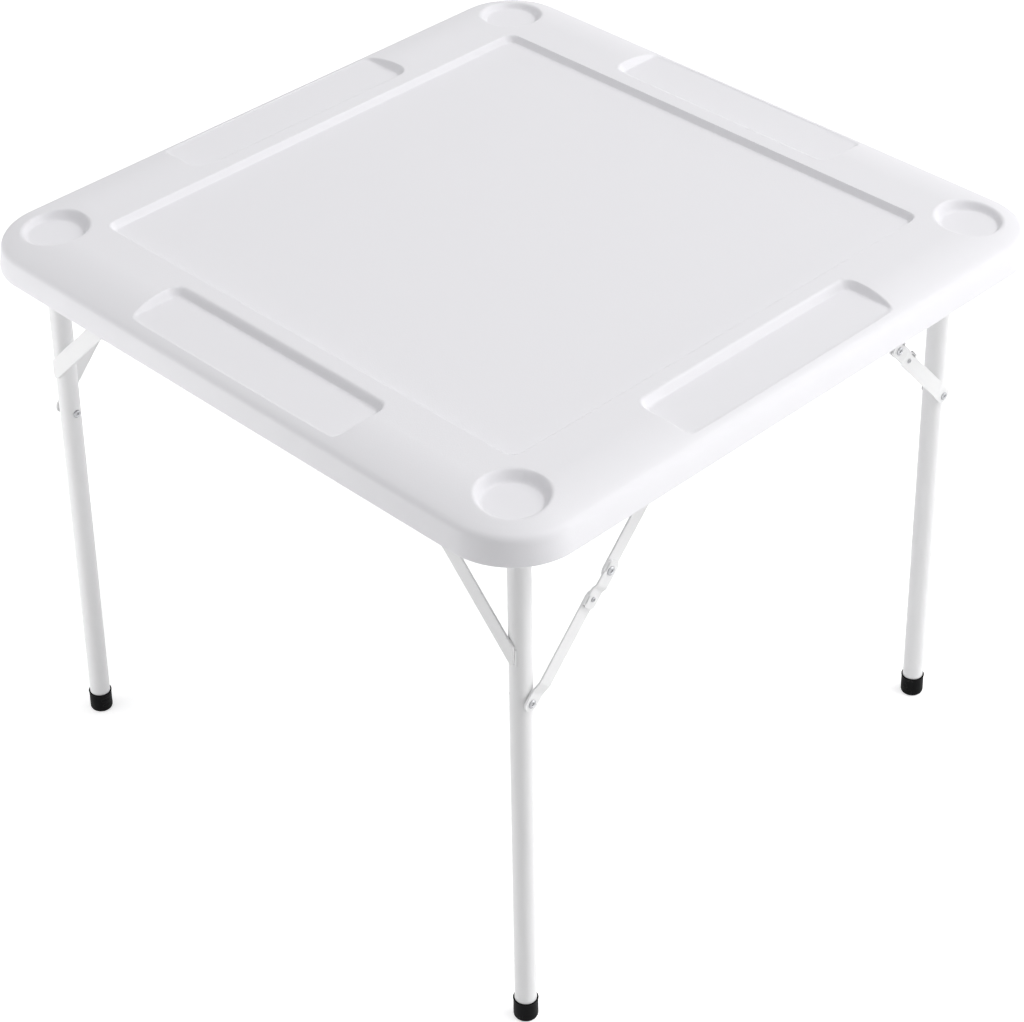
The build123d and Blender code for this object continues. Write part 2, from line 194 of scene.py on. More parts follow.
def topHeight(x, y, ring):
    # The crown, cut by the lowest of the field, the cup holders and the trays.
    s = recessShape
    height = crownHeight(ring)
    gap = roundedBoxGap(x, y, s["fieldHalf"], s["fieldHalf"], s["fieldCorner"])
    softSides = np.clip((np.abs(x) - np.abs(y)) / s["softSideWidth"], 0, 1)
    rounding = s["fieldRounding"] + s["fieldSoftSides"] * softSides
    height = softMin(height, recess(gap, s["fieldDepth"], s["fieldSpread"]), rounding)
    gap = np.hypot(np.abs(x) - s["cupOffset"], np.abs(y) - s["cupOffset"]) - s["cupFloorRadius"]
    height = softMin(height, recess(gap, s["cupDepth"], s["cupSpread"]), s["cupRounding"])
    reach = (s["trayOuterEdge"] - s["trayInnerEdge"]) / 2
    for across, along in ((x, y), (y, x)):
        away = np.abs(across) - s["trayInnerEdge"]
        gap = roundedBoxGap(away - reach, along, reach, s["trayHalfLength"], s["trayCorner"])
        innerWall = np.clip(0.5 - away / s["trayWallBlend"], 0, 1)  # only this wall is rounded wide
        rounding = s["edgeRounding"] + (s["trayRounding"] - s["edgeRounding"]) * innerWall
        height = softMin(height, recess(gap, s["trayDepth"], s["traySpread"]), rounding)
    return height


def underHeight(x, y):
    # Level, with round dimples upward and seat pads downward.
    s = underShape
    level = topShape["height"] - topShape["slabDepth"]
    height = np.full_like(x, level)
    rise = s["dimpleHeight"] / (s["dimpleMouth"] - s["dimpleTip"])
    for px in s["dimpleOffsets"]:
        for py in s["dimpleOffsets"]:
            reach = np.hypot(np.abs(x) - px, np.abs(y) - py)
            cone = np.minimum(level + (s["dimpleMouth"] - reach) * rise, level + s["dimpleHeight"])
            height = softMax(height, cone, s["rounding"])
    for px, py, depth in s["pads"]:
        gap = roundedBoxGap(np.abs(x) - px, y - py, s["padHalf"][0], s["padHalf"][1], s["rounding"])
        pad = level - depth + np.maximum(gap, 0) * s["padSlope"]
        height = softMin(height, pad, s["rounding"])
    return height


def roundedCorner(before, corner, after, radius, steps):
    # Points of the arc that touches both lines of a corner.
    before, corner, after = (np.array(p, float) for p in (before, corner, after))
    inward = (before - corner) / np.linalg.norm(before - corner)
    outward = (after - corner) / np.linalg.norm(after - corner)
    half = math.acos(np.clip(inward @ outward, -1, 1)) / 2
    middle = inward + outward
    center = corner + middle / np.linalg.norm(middle) * radius / math.sin(half)
    start = corner + inward * radius / math.tan(half) - center
    end = corner + outward * radius / math.tan(half) - center
    sweep = math.pi - 2 * half
    shares = np.linspace(0, 1, steps + 1)[:, None]
    arc = start * np.sin((1 - shares) * sweep) + end * np.sin(shares * sweep)
    return center + arc / math.sin(sweep)


def roundedLine(corners, steps=3):
    # A line through corners given as place and blend radius, sharp where the radius is zero.
    points = []
    for k, (place, radius) in enumerate(corners):
        if radius == 0:
            points.append(np.array([place], float))
        else:
            points.append(roundedCorner(corners[k - 1][0], place, corners[k + 1][0], radius, steps))
    return np.concatenate(points)


def rimSection():
    # From the end of the crown round the crease, down the wall, under the lip and onto the underside.
    s = topShape
    bottom = s["height"] - s["rimDepth"]
    under = s["height"] - s["slabDepth"]
    creaseAt = s["cornerRadius"] - s["wallDraft"]
    crownEnd = creaseAt - s["creaseBlend"]
    lip = s["cornerRadius"] - s["lipWidth"]
    return roundedLine([
        ((crownEnd, crownHeight(crownEnd)), 0),
        ((creaseAt, s["height"] - s["crownDrop"]), s["creaseBlend"]),
        ((s["cornerRadius"], bottom), s["rimBlend"]),
        ((lip, bottom), s["rimBlend"]),
        ((lip, under), s["lipBlend"]),
        ((lip - s["underBand"], under), 0),
    ], s["blendSteps"])


def rimLoop(base, share, outward, height):
    # One closed loop round the table: a side of it, turned four times.
    center = cornerCenter()
    turn = np.pi / 4 * share
    side = np.stack([base + outward * np.sin(turn), -center - outward * np.cos(turn)], 1)[:-1]
    turns = [(1, 0), (0, 1), (-1, 0), (0, -1)]
    plan = np.concatenate([side @ np.array([(c, s), (-s, c)]) for c, s in turns])
    return np.column_stack([plan, np.full(len(plan), height)])


def numbered(rows, columns, first=0):
    return np.arange(rows * columns).reshape(rows, columns) + first


def quads(index, closed=False, looped=False):
    # Faces of a grid of vertex numbers, closed round its rows, or looped from the last row to the first.
    if closed:
        index = np.column_stack([index, index[:, 0]])
    if looped:
        index = np.vstack([index, index[:1]])
    corners = [index[:-1, :-1], index[:-1, 1:], index[1:, 1:], index[1:, :-1]]
    return np.stack([part.ravel() for part in corners], 1)


def gridEdge(index):
    # A grid's outer vertices, in the order of a rim loop.
    return np.concatenate([index[:-1, 0], index[-1, :-1], index[:0:-1, -1], index[0, :0:-1]])


def ontoCircles(x, y, circles, near):
    # Grid points near a circle, mirrored to all sides, move onto it, so that its edge is true. A
    # circle is its centre and radius, and whether only its outer quarter counts.
    onEdge = np.zeros(x.shape, bool)
    for centerX, centerY, radius, quarter in circles:
        awayX = np.abs(x) - centerX
        awayY = np.abs(y) - centerY
        reach = np.maximum(np.hypot(awayX, awayY), tiny)
        chosen = np.abs(reach - radius) < near
        if quarter:
            chosen &= (awayX > 0) & (awayY > 0)
        target = np.where(chosen, radius, reach)
        x = np.sign(x) * (centerX + awayX * target / reach)
        y = np.sign(y) * (centerY + awayY * target / reach)
        onEdge |= chosen
    return x, y, onEdge


def topCircles():
    # The cups' floors, and the foot and the lip of the field's round corners.
    s = recessShape
    corner = s["fieldHalf"] - s["fieldCorner"]
    cup = (s["cupOffset"], s["cupOffset"], s["cupFloorRadius"], False)
    return [cup] + [(corner, corner, s["fieldCorner"] + out, True) for out in (0, s["fieldSpread"])]


def dimpleCircles():
    # The mouth and the tip of every dimple.
    s = underShape
    offsets = s["dimpleOffsets"]
    radii = (s["dimpleMouth"], s["dimpleTip"])
    return [(px, py, radius, False) for px in offsets for py in offsets for radius in radii]


def foldedAlong(faces, marked):
    # A quad folds between its first and third points, so it starts at a marked one of the edge.
    other = marked[faces[:, 1]] & marked[faces[:, 3]] & ~(marked[faces[:, 0]] & marked[faces[:, 2]])
    return np.where(other[:, None], np.roll(faces, -1, axis=1), faces)


meshCare = {"joinWithin": 2e-6, "thinnerThan": 1e-7, "flatWeight": 60}
newPieces = []


def closeMesh(mesh):
    # Doubled points at poles and tips become one, and every face is turned outward.
    work = bmesh.new()
    work.from_mesh(mesh)
    bmesh.ops.remove_doubles(work, verts=work.verts, dist=meshCare["joinWithin"])
    bmesh.ops.dissolve_degenerate(work, edges=work.edges, dist=meshCare["thinnerThan"])
    bmesh.ops.recalc_face_normals(work, faces=work.faces)
    work.to_mesh(mesh)
    work.free()


def addPiece(name, parts, body, slotName, node, hasPoles=True):
    # Parts are pairs of points in millimetres and blocks of faces, joined into one mesh.
    points, faces, first = [], [], 0
    for partPoints, blocks in parts:
        points.append(partPoints)
        for block in blocks:
            faces += (block + first).tolist()
        first += len(partPoints)
    mesh = bpy.data.meshes.new(name)
    mesh.from_pydata((np.concatenate(points) * mm).tolist(), [], faces)
    if hasPoles:
        closeMesh(mesh)
    mesh.shade_smooth()
    piece = bpy.data.objects.new(name, mesh)
    bpy.context.scene.collection.objects.link(piece)
    if hasPoles:
        keepFlats = piece.modifiers.new("keepFlats", "WEIGHTED_NORMAL")
        keepFlats.weight = meshCare["flatWeight"]
        keepFlats.keep_sharp = True
    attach(piece, body)
    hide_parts(node)
    newPieces.append((piece, slotName))


def makeTop():
    section = rimSection()
    center = cornerCenter()
    reaches = (section[0, 0], section[-1, 0])
    skins = [spacedLines(topLines[key] + ((center + reach, step),))
             for key, reach, step in zip(("above", "below"), reaches, topLines["lastSteps"])]
    most = max(len(lines) for lines in skins)  # the two grids meet line by line
    above, below = (mirroredLines(filledUp(lines, most)) for lines in skins)
    x, y, ring = bentPlan(above)
    x, y, topEdge = ontoCircles(x, y, topCircles(), topLines["snap"])
    upper = np.stack([x, y, topHeight(x, y, ring)], -1).reshape(-1, 3)
    x, y, ring = bentPlan(below)
    x, y, underEdge = ontoCircles(x, y, dimpleCircles(), topLines["underSnap"])
    lower = np.stack([x, y, underHeight(x, y)], -1).reshape(-1, 3)
    base = np.clip(above, -center, center)
    share = np.sign(above) * np.clip((np.abs(above) - center) / reaches[0], 0, 1)
    loops = [rimLoop(base, share, outward, height) for outward, height in section[1:-1]]
    points = np.concatenate([upper, lower] + loops)
    marked = np.zeros(len(points), bool)
    marked[:2 * topEdge.size] = np.concatenate([topEdge.ravel(), underEdge.ravel()])
    count = len(above)
    upperIndex = numbered(count, count)
    lowerIndex = numbered(count, count, count**2)
    rim = numbered(len(loops), 4 * (count - 1), 2 * count**2)
    band = np.vstack([gridEdge(upperIndex), rim, gridEdge(lowerIndex)])
    faces = np.concatenate([quads(upperIndex)[:, flipped], np.roll(quads(lowerIndex), -1, axis=1),
                            quads(band, closed=True)[:, flipped]])
    skin = (points, [foldedAlong(faces, marked)])
    addPiece("mouldedTop", [skin], "table", "moulded_white", "table_top", hasPoles=False)
    print("top:", count, "lines,", 2 * len(faces), "triangles")


makeTop()

# The leg frames. The front one is drawn, and the back one is the same turned half round.
frameShape = {
    "pivotY": -368.4,
    "tubeRadius": 12.7,
    "splay": 0.8,
    "outTilt": 0.63,
    "braceDrop": 208.0,
    "anchorInward": 187.0,
    "anchorRise": 2.0,
    "sets": {
        "front": {"halfWidth": 376.0, "pivotHeight": 673.2, "turn": 0},
        "back": {"halfWidth": 335.0, "pivotHeight": 675.2, "turn": 180},
    },
}
splay = math.radians(frameShape["splay"])
outTilt = math.radians(frameShape["outTilt"])
mirrorX = np.diag([-1.0, 1.0, 1.0, 1.0])
mirrorZ = np.diag([1.0, 1.0, -1.0, 1.0])


def moved(x, y, z):
    place = np.eye(4)
    place[:3, 3] = (x, y, z)
    return place


def turnedAbout(axis, degrees):
    c, s = math.cos(math.radians(degrees)), math.sin(math.radians(degrees))
    first, second = {"X": (1, 2), "Y": (2, 0), "Z": (0, 1)}[axis]
    place = np.eye(4)
    place[first, first] = place[second, second] = c
    place[second, first] = s
    place[first, second] = -s
    return place


def put(shape, place):
    # A shape's points and faces, carried to a place.
    points, blocks = shape
    return points @ place[:3, :3].T + place[:3, 3], blocks


def framePlace(legSet):
    s = frameShape["sets"][legSet]
    lifted = moved(0, frameShape["pivotY"], s["pivotHeight"])
    return turnedAbout("Z", s["turn"]) @ lifted @ turnedAbout("X", -frameShape["outTilt"])


def legPlace(legSet, side):
    half = frameShape["sets"][legSet]["halfWidth"]
    return framePlace(legSet) @ moved(side * half, 0, 0) @ turnedAbout("Y", -side * frameShape["splay"])


def bracePlace(legSet, side):
    # X runs from the leg's rivet up the brace, Z outward from the leg's axis. The length is returned too.
    s = frameShape
    legs = s["sets"][legSet]
    footX = legs["halfWidth"] + s["braceDrop"] * math.tan(splay)
    foot = np.array([footX, s["pivotY"] - s["braceDrop"] * math.sin(outTilt),
                     legs["pivotHeight"] - s["braceDrop"] * math.cos(outTilt)])
    anchor = np.array([footX, s["pivotY"] + s["anchorInward"], legs["pivotHeight"] + s["anchorRise"]])
    length = np.linalg.norm(anchor - foot)
    along = (anchor - foot) / length
    outward = np.array([1.0, 0, 0])
    place = np.eye(4)
    place[:3] = np.column_stack([along, np.cross(outward, along), outward, foot])
    if side < 0:
        place = mirrorX @ place
    return turnedAbout("Z", legs["turn"]) @ place, length


def sideTag(legSet, side):
    sign = 1 if frameShape["sets"][legSet]["turn"] == 0 else -1
    return legSet + ("_right" if side * sign > 0 else "_left")


def turnedBody(profile, segments=64):
    # A profile of radius and height, carried round the Z axis.
    angle = np.arange(segments) * 2 * np.pi / segments
    x = profile[:, :1] * np.cos(angle)
    y = profile[:, :1] * np.sin(angle)
    z = np.repeat(profile[:, 1:], segments, axis=1)
    return np.stack([x, y, z], -1).reshape(-1, 3), [quads(numbered(len(profile), segments), True)]


def plainTube(start, end, rings):
    # The frame's tube along Z, closed at both ends.
    stations = np.linspace(start, end, rings)
    side = np.column_stack([np.full(rings, frameShape["tubeRadius"]), stations])
    return turnedBody(np.concatenate([[[0, start]], side, [[0, end]]]))


def roundedLoop(corners, radius, steps=4):
    # A closed outline with every corner blended.
    before, after = np.roll(corners, 1, axis=0), np.roll(corners, -1, axis=0)
    return np.concatenate([roundedCorner(*three, radius, steps) for three in zip(before, corners, after)])


def shiftedOutline(corners, inset):
    # Every edge of a convex outline moved inward, and the corners met again.
    corners = np.array(corners, float)
    after = np.roll(corners, -1, axis=0)
    edge = (after - corners) / np.linalg.norm(after - corners, axis=1, keepdims=True)
    area = np.sum(corners[:, 0] * after[:, 1] - corners[:, 1] * after[:, 0])
    inward = np.stack([-edge[:, 1], edge[:, 0]], 1) * np.sign(area)
    bisector = np.roll(inward, 1, axis=0) + inward
    return corners + bisector * (inset * 2 / np.sum(bisector**2, axis=1, keepdims=True))


def edgeSteps(thickness, edge, steps=3):
    # Insets and heights of the rings of a plate with rounded edges.
    turn = np.linspace(0, np.pi / 2, steps + 1)
    inset = edge * (1 - np.sin(turn))
    low = edge * (1 - np.cos(turn))
    return np.concatenate([inset, inset[::-1]]), np.concatenate([low, thickness - low[::-1]])


def flatPlate(corners, blend, thickness, edge):
    # A flat outline with blended corners and rounded edges, its lower face at zero height.
    insets, heights = edgeSteps(thickness, edge)
    rings = [roundedLoop(shiftedOutline(corners, inset), blend - inset) for inset in insets]
    index = numbered(len(rings), len(rings[0]))
    points = np.column_stack([np.concatenate(rings), np.repeat(heights, len(rings[0]))])
    return points, [quads(index, True), np.stack([index[0, ::-1], index[-1]])]


bendShape = {"endPoints": 9, "reach": 2.4, "stops": 7, "soft": 1.2, "samples": 9}


def bentPlate(start, end, halfWidth, corner, thickness, edge, bends):
    # A strip with blended ends, lifted along its length by the bends: distance and height, joined
    # by straight runs, with each height the mean over a short stretch, so that the bends are soft.
    s = bendShape
    insets, heights = edgeSteps(thickness, edge)
    turn = np.linspace(0, np.pi / 2, s["endPoints"])
    places, lifts = np.array(bends).T
    stops = np.unique(np.round(places + np.linspace(-s["reach"], s["reach"], s["stops"])[:, None], 3))
    middle = stops[(stops > start + corner) & (stops < end - corner)]
    offsets = np.linspace(-s["soft"], s["soft"], s["samples"])[:, None]
    rings = []
    for inset, height in zip(insets, heights):
        reach = corner - inset
        nearEnd = start + corner - reach * np.cos(turn)
        across = halfWidth - corner + reach * np.sin(turn)
        farEnd = end - corner + reach * np.cos(turn[::-1])
        along = np.concatenate([nearEnd, middle, farEnd])
        width = np.concatenate([across, np.full(len(middle), halfWidth - inset), across[::-1]])
        lift = np.interp(along + offsets, places, lifts).mean(axis=0)
        oneSide = np.column_stack([along, width, lift + height])
        rings.append(np.concatenate([oneSide, (oneSide * (1, -1, 1))[::-1]]))
    index = numbered(len(rings), len(rings[0]))
    pair = np.arange(len(rings[0]) // 2 - 1)
    cap = np.stack([pair, pair + 1, -2 - pair, -1 - pair], 1)
    return np.concatenate(rings), [quads(index, True), index[0][cap][:, ::-1], index[-1][cap]]


weldShape = {"sides": 10, "waves": (2.4, 5.3), "minorShare": 0.4, "minorShift": 1, "endTaper": 1.5}


def beadAlong(path, side, radius, ripple, closed=False):
    # A weld bead: a round section along a path, its radius rippled like a laid weld by two waves,
    # and drawn in to a point at open ends.
    s = weldShape
    after = np.roll(path, -1, axis=0) if closed else np.vstack([path[1:], path[-1:]])
    before = np.roll(path, 1, axis=0) if closed else np.vstack([path[:1], path[:-1]])
    tangent = after - before
    tangent /= np.linalg.norm(tangent, axis=1, keepdims=True)
    first = side - np.sum(side * tangent, axis=1, keepdims=True) * tangent
    first /= np.linalg.norm(first, axis=1, keepdims=True)
    second = np.cross(tangent, first)
    length = np.concatenate([[0], np.cumsum(np.linalg.norm(np.diff(path, axis=0), axis=1))])
    main, minor = (np.sin(length * wave + shift) for wave, shift in zip(s["waves"], (0, s["minorShift"])))
    swell = radius * (1 + ripple * main + s["minorShare"] * ripple * minor)
    if not closed:
        away = np.minimum(length, length[-1] - length) / (s["endTaper"] * radius)
        swell = swell * np.sqrt(np.clip(away, 0, 1))
    angle = np.linspace(0, 2 * np.pi, s["sides"], endpoint=False)[:, None]
    ring = first[:, None] * np.cos(angle) + second[:, None] * np.sin(angle)
    points = path[:, None] + swell[:, None, None] * ring
    return points.reshape(-1, 3), [quads(numbered(len(path), s["sides"]), True, closed)]


legShape = {
    "rings": 40,
    "footSole": 4.5,
    "beadRadius": 1.9,
    "ripple": 0.12,
    "seamPoints": 120,
    "seamSoftness": 0.01,
}


def legLength(legSet):
    return frameShape["sets"][legSet]["pivotHeight"] / (math.cos(splay) * math.cos(outTilt))


def weldRing():
    # The seam of two equal round tubes that cross: its depth is the tube's radius times the
    # cosine of the angle round the leg, softened where the two sides meet.
    s = legShape
    radius = frameShape["tubeRadius"]
    angle = np.linspace(0, 2 * np.pi, s["seamPoints"], endpoint=False)
    c, upright = np.cos(angle), np.ones(len(angle))
    depth = -radius * np.sqrt(c**2 + s["seamSoftness"])
    path = np.column_stack([radius * c, radius * np.sin(angle), depth])
    side = np.column_stack([c, np.sin(angle), -upright])
    return beadAlong(path, side, s["beadRadius"], s["ripple"], closed=True)


def makeLeg(legSet, side):
    tag = sideTag(legSet, side)
    tube = plainTube(0, legShape["footSole"] - legLength(legSet), legShape["rings"])
    parts = [put(shape, legPlace(legSet, side)) for shape in (tube, weldRing())]
    addPiece("legTube_" + tag, parts, legSet + "_frame", "white_paint", "leg_" + tag)


footShape = {
    "radius": 14.25,
    "height": 28.0,
    "blend": 4.5,
    "trim": 0.6,
    "rim": 0.7,
    "taper": 0.15,
    "collar": 0.35,
    "collarFoot": 1.6,
    "collarDepth": 1.2,
    "mouthGap": 0.2,
    "mouthDepth": 4.0,
    "blendSteps": 5,
}


def makeFoot(legSet, side):
    # A cap that tapers a little to a raised collar round the tube.
    s = footShape
    tag = sideTag(legSet, side)
    low = -legLength(legSet) - s["trim"]
    high = -legLength(legSet) + s["height"]
    mouth = high - s["mouthDepth"]
    inner = frameShape["tubeRadius"] - s["mouthGap"]
    outer = s["radius"] + s["collar"]
    line = roundedLine([
        ((0, low), 0), ((s["radius"], low), s["blend"]),
        ((s["radius"] - s["taper"], high - s["collarFoot"]), 0), ((outer, high - s["collarDepth"]), 0),
        ((outer, high), s["rim"]), ((inner, high), s["rim"]), ((inner, mouth), 0), ((0, mouth), 0),
    ], s["blendSteps"])
    points, blocks = put(turnedBody(line), legPlace(legSet, side))
    points[:, 2] = np.maximum(points[:, 2], 0)  # the sole is flat on the floor
    addPiece("footCap_" + tag, [(points, blocks)], legSet + "_frame", "black_plastic", "foot_" + tag)


gussetShape = {
    "width": 20.5,
    "thickness": 2.6,
    "fromLeg": 137.0,
    "drop": 143.0,
    "pastLeg": 4.0,
    "aboveTube": 6.0,
    "blend": 3.5,
    "edge": 0.5,
    "seatGap": 0.05,
    "beadRadius": 1.3,
    "beadSink": 0.6,
    "beadOut": 0.2,
    "beadShares": (0.12, 0.88),
    "beadPoints": 26,
    "ripple": 0.16,
}


def gussetCorners(legSet):
    # The slanted strip's two cut ends, upright past the leg and level above the tube, each with its
    # lower corner first.
    s = gussetShape
    half = frameShape["sets"][legSet]["halfWidth"]
    low = np.array([half + s["drop"] * math.tan(splay), -s["drop"]])
    high = np.array([half - s["fromLeg"], 0.0])
    slope = (high[1] - low[1]) / (high[0] - low[0])
    rise = s["width"] / 2 * math.hypot(1, slope)
    right = low[0] + s["pastLeg"]
    rightEnd, topEnd = [], []
    for way in (-1, 1):
        rightEnd.append((right, low[1] + slope * (right - low[0]) + way * rise))
        topEnd.append((low[0] + (s["aboveTube"] - low[1] - way * rise) / slope, s["aboveTube"]))
    return np.array(rightEnd), np.array(topEnd)


def makeGusset(legSet, side):
    # The strip, with a weld bead along each of its two cut ends.
    s = gussetShape
    tag = sideTag(legSet, side)
    outward = turnedAbout("X", 90) @ moved(0, 0, frameShape["tubeRadius"] + s["seatGap"])
    place = framePlace(legSet) @ (mirrorX if side < 0 else np.eye(4)) @ outward
    rightEnd, topEnd = gussetCorners(legSet)
    parts = [flatPlate([*rightEnd, *topEnd[::-1]], s["blend"], s["thickness"], s["edge"])]
    shares = np.linspace(*s["beadShares"], s["beadPoints"])[:, None]
    up = np.tile((0.0, 0, 1), (len(shares), 1))
    for cutEnd, out in ((rightEnd, (s["beadOut"], 0)), (topEnd, (0, s["beadOut"]))):
        line = cutEnd[0] + (cutEnd[1] - cutEnd[0]) * shares + out
        path = np.column_stack([line, np.full(len(line), -s["beadSink"])])
        parts.append(beadAlong(path, up, s["beadRadius"], s["ripple"]))
    addPiece("gussetStrip_" + tag, [put(part, place) for part in parts], legSet + "_frame", "white_paint",
             "gusset_" + tag)


crossShape = {
    "rings": 30,
    "pastLeg": 12.5,
    "flange": 1.5,
    "flangeEdge": 0.5,
    "plugDepth": 3.0,
    "plugGap": 0.4,
    "dishShares": (0.62, 0.55),
    "dishFloor": 0.5,
    "dishBlend": 0.2,
    "plugSegments": 48,
}


def makeCrossTube(legSet):
    # The tube, and in each end a plug with a dished flange.
    s = crossShape
    radius = frameShape["tubeRadius"]
    end = frameShape["sets"][legSet]["halfWidth"] + s["pastLeg"]
    tube = put(plainTube(-end, end, s["rings"]), framePlace(legSet) @ turnedAbout("Y", 90))
    addPiece("crossTube_" + legSet, [tube], legSet + "_frame", "white_paint", "cross_tube_" + legSet)
    inner = radius - s["plugGap"]
    deep, floor, face = end - s["plugDepth"], end + s["dishFloor"], end + s["flange"]
    dishTop, dishFoot = (radius * share for share in s["dishShares"])
    line = roundedLine([
        ((0, deep), 0), ((inner, deep), 0), ((inner, end), 0), ((radius, end), 0),
        ((radius, face), s["flangeEdge"]), ((dishTop, face), s["dishBlend"]),
        ((dishFoot, floor), s["dishBlend"]), ((0, floor), 0)])
    plug = turnedBody(line, s["plugSegments"])
    plugs = [put(plug, framePlace(legSet) @ turnedAbout("Y", side * 90)) for side in (-1, 1)]
    addPiece("tubePlugs_" + legSet, plugs, legSet + "_frame", "black_plastic", "cross_tube_plugs_" + legSet)


rivetShape = {
    "leg": (3.0, 5.0),  # radius of the shank and of the head
    "elbow": (1.9, 2.9),
    "plate": (3.1, 5.3),
    "headHeight": 1.6,
    "headShares": (0.75, 1.15, 0.45),  # height of the hollow's lip, the crest and the head's edge
    "headBlends": (0.15, 1.2, 0.5),
    "hollowShare": 0.6,
    "hollowDepth": 0.6,
    "floorShare": 0.9,
    "floorBlend": 0.2,
    "tailHeight": 1.3,
    "tailShares": (0.5, 0.55),  # height of the tail's shoulder and radius of its end
    "tailBlends": (0.4, 1.0),
    "flatTail": 0.02,
    "pastTube": 0.6,
    "seatGap": 0.05,
    "steps": 4,
    "segments": 40,
}


def ringHead(kind, start, end, tailed):
    # A tubular rivet: a rolled ring round a hollow, the shank, and a low domed tail or none.
    s = rivetShape
    radius, head = s[kind]
    tail, drop = (head, s["tailHeight"]) if tailed else (radius, s["flatTail"])
    hollow = radius * s["hollowShare"]
    floor = end - s["hollowDepth"]
    lip, crest, edge = (end + s["headHeight"] * share for share in s["headShares"])
    lipBlend, crestBlend, edgeBlend = s["headBlends"]
    shoulder, tailEnd = start - drop * s["tailShares"][0], start - drop
    line = roundedLine([
        ((0, floor), 0), ((hollow * s["floorShare"], floor), s["floorBlend"]), ((hollow, lip), lipBlend),
        (((hollow + head) / 2, crest), crestBlend), ((head, edge), edgeBlend), ((head, end), 0),
        ((radius, end), 0), ((radius, start), 0), ((tail, start), 0), ((tail, shoulder), s["tailBlends"][0]),
        ((tail * s["tailShares"][1], tailEnd), s["tailBlends"][1]), ((0, tailEnd), 0)], s["steps"])
    return turnedBody(line, s["segments"])


def makeLegRivets(legSet):
    # A stub through the tube with a ring head on the leg's inner side.
    s = rivetShape
    radius = frameShape["tubeRadius"]
    seat = radius + s["leg"][1] * math.tan(splay) + s["seatGap"]
    stub = ringHead("leg", -radius - s["pastTube"], seat, False)
    stubs = [put(stub, bracePlace(legSet, side)[0] @ mirrorZ) for side in (-1, 1)]
    addPiece("legRivets_" + legSet, stubs, legSet + "_frame", "zinc_steel", "leg_rivets_" + legSet)


braceShape = {
    "width": 19.0,
    "thickness": 2.5,
    "edge": 0.35,
    "endShort": 0.01,
    "lowerLength": 126.0,
    "platePitch": 35.0,
    "linkEndLayer": 13.6,
    "linkLayer": 17.0,
    "plateLayer": 19.8,
    "earLayer": 22.6,
    "linkBend": (12.0, 24.0),
    "plateBend": (11.0, 15.5),
    "platePast": 11.2,
    "plateCorner": 5.5,
    "tabThickness": 2.2,
    "tabAhead": 8.5,
    "tabBehind": 3.0,
    "tabShort": 2.4,
    "tabBlend": 0.7,
    "tabLap": 0.3,
    "gap": 0.3,
}


def tabHook(start, end, innerLayer, plateAt):
    # A tab bent over the strip's edge: an L seen along the strip, with a soft outer corner.
    s = braceShape
    inner = s["width"] / 2 + s["gap"]
    outer = inner + s["tabThickness"]
    root = s["width"] / 2 - s["tabThickness"]
    low, top = innerLayer + s["tabShort"], plateAt + s["thickness"]
    lap = outer - s["tabLap"]
    upright = [(inner, low), (outer, low), (outer, top), (inner, top)]
    bridge = [(root, plateAt), (lap, plateAt), (lap, top), (root, top)]
    parts = []
    for corners in (upright, bridge):
        points, blocks = flatPlate(corners, s["tabBlend"], end - start, s["edge"])
        parts.append((np.roll(points, 1, axis=1) + (start, 0, 0), blocks))
    return parts


def makeBrace(legSet, side):
    # A lower and an upper link, the lock plate over their ends, and three rivets.
    s = braceShape
    tag = sideTag(legSet, side)
    place, length = bracePlace(legSet, side)
    half = s["width"] / 2
    elbow = s["lowerLength"]
    pivot = elbow + s["platePitch"]
    past = s["platePast"]

    def strip(start, end, corner, bends):
        return bentPlate(start, end, half, corner, s["thickness"], s["edge"], bends)

    lower = strip(-half, elbow + half, half - s["endShort"],
                  [(s["linkBend"][0], s["linkEndLayer"]), (s["linkBend"][1], s["linkLayer"])])
    upper = strip(pivot - half, length + half, half - s["endShort"], [(pivot - half, s["plateLayer"])])
    plate = strip(elbow - past, pivot + past, s["plateCorner"],
                  [(elbow + s["plateBend"][0], s["plateLayer"]), (elbow + s["plateBend"][1], s["earLayer"])])
    tabs = tabHook(elbow - s["tabAhead"], elbow + s["tabBehind"], s["linkLayer"], s["plateLayer"])
    tabs += tabHook(pivot - s["tabBehind"], pivot + s["tabAhead"], s["plateLayer"], s["earLayer"])
    strips = (("lowerLink_", "lower_", "brace_lower_", [lower]),
              ("upperLink_", "upper_", "brace_upper_", [upper]),
              ("lockPlate_", "plate_", "lock_plate_", [plate] + tabs))
    for name, body, node, parts in strips:
        addPiece(name + tag, [put(part, place) for part in parts], body + tag, "white_paint", node + tag)
    rivets = (("elbowRivet_", "plate_", "elbow_rivet_", "elbow", elbow, s["linkLayer"], s["plateLayer"]),
              ("plateRivet_", "plate_", "plate_rivet_", "plate", pivot, s["plateLayer"], s["earLayer"]),
              ("braceRivet_", "lower_", "brace_rivet_head_", "leg", 0, s["linkEndLayer"], s["linkEndLayer"]))
    for name, body, node, kind, at, first, last in rivets:
        rivet = put(ringHead(kind, first, last + s["thickness"], kind != "leg"), place @ moved(at, 0, 0))
        addPiece(name + tag, [rivet], body + tag, "zinc_steel", node + tag)


for legSet in frameShape["sets"]:
    makeCrossTube(legSet)
    makeLegRivets(legSet)
    for side in (-1, 1):
        makeLeg(legSet, side)
        makeFoot(legSet, side)
        makeGusset(legSet, side)
        makeBrace(legSet, side)
    print("leg frame:", legSet)

# Camera, lamps, floor
cameraView = {
    "location": (1.96679, -1.94694, 2.37468),
    "azimuth": 0.7921,
    "elevation": 0.6406,
    "roll": -0.0144,
    "lens": 99.16,
    "sensor": 36.0,
}


